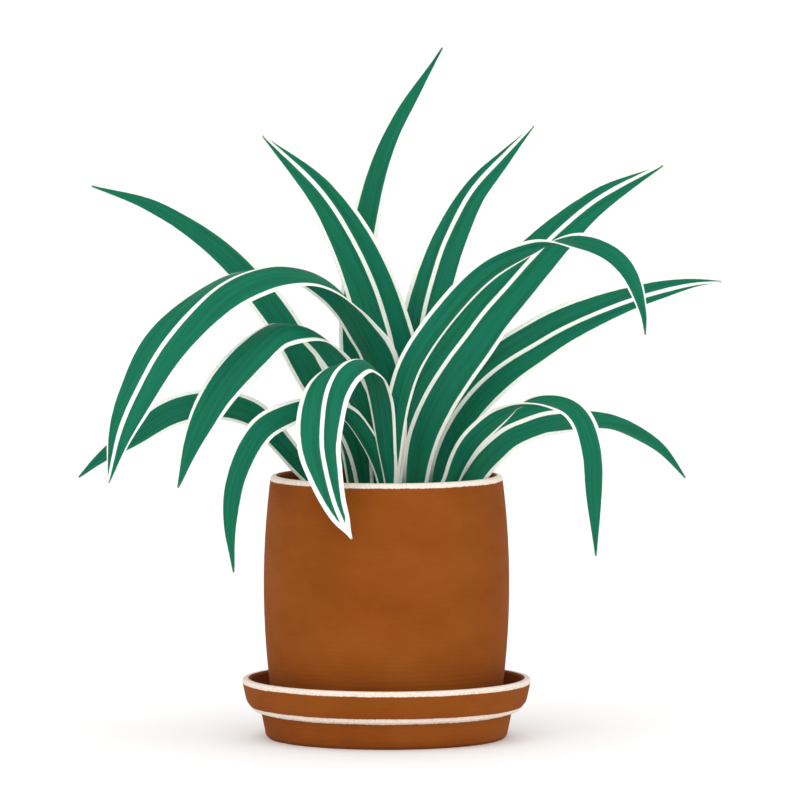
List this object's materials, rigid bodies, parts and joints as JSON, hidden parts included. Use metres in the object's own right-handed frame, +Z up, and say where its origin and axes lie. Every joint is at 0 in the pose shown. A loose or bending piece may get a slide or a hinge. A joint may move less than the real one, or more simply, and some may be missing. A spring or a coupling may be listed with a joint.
{
  "type": "potted spider plant",
  "caption": "Spider plant with arching, channelled strap leaves in a barrel-shaped clay pot standing on a stepped clay saucer.",
  "frame": {"origin": "centre of the saucer's flat underside", "axes": "+Z up out of the pot, -Y towards the viewer of the picture, +X to the viewer's right"},
  "size_m": [0.3456, 0.2089, 0.3653],
  "materials": {
    "clay": "matte unglazed terracotta brown",
    "soil": "dark crumbly potting soil",
    "leaf": "satin deep green leaf with a pale centre stripe on some"
  },
  "bodies": {
    "root": {"saucer": "clay", "pot": "clay", "soil": "soil", "leaf_top": "leaf", "leaf_upper_left": "leaf", "leaf_far_left": "leaf", "leaf_left_arch": "leaf", "leaf_left_droop": "leaf", "leaf_front": "leaf", "leaf_low_left": "leaf", "leaf_side_left": "leaf", "leaf_upper_right": "leaf", "leaf_high_right": "leaf", "leaf_right_arch": "leaf", "leaf_right": "leaf", "leaf_low_right": "leaf", "leaf_side_right": "leaf", "leaf_back_left": "leaf", "leaf_back": "leaf", "leaf_back_right": "leaf", "leaf_back_low": "leaf"}
  },
  "joints": []
}
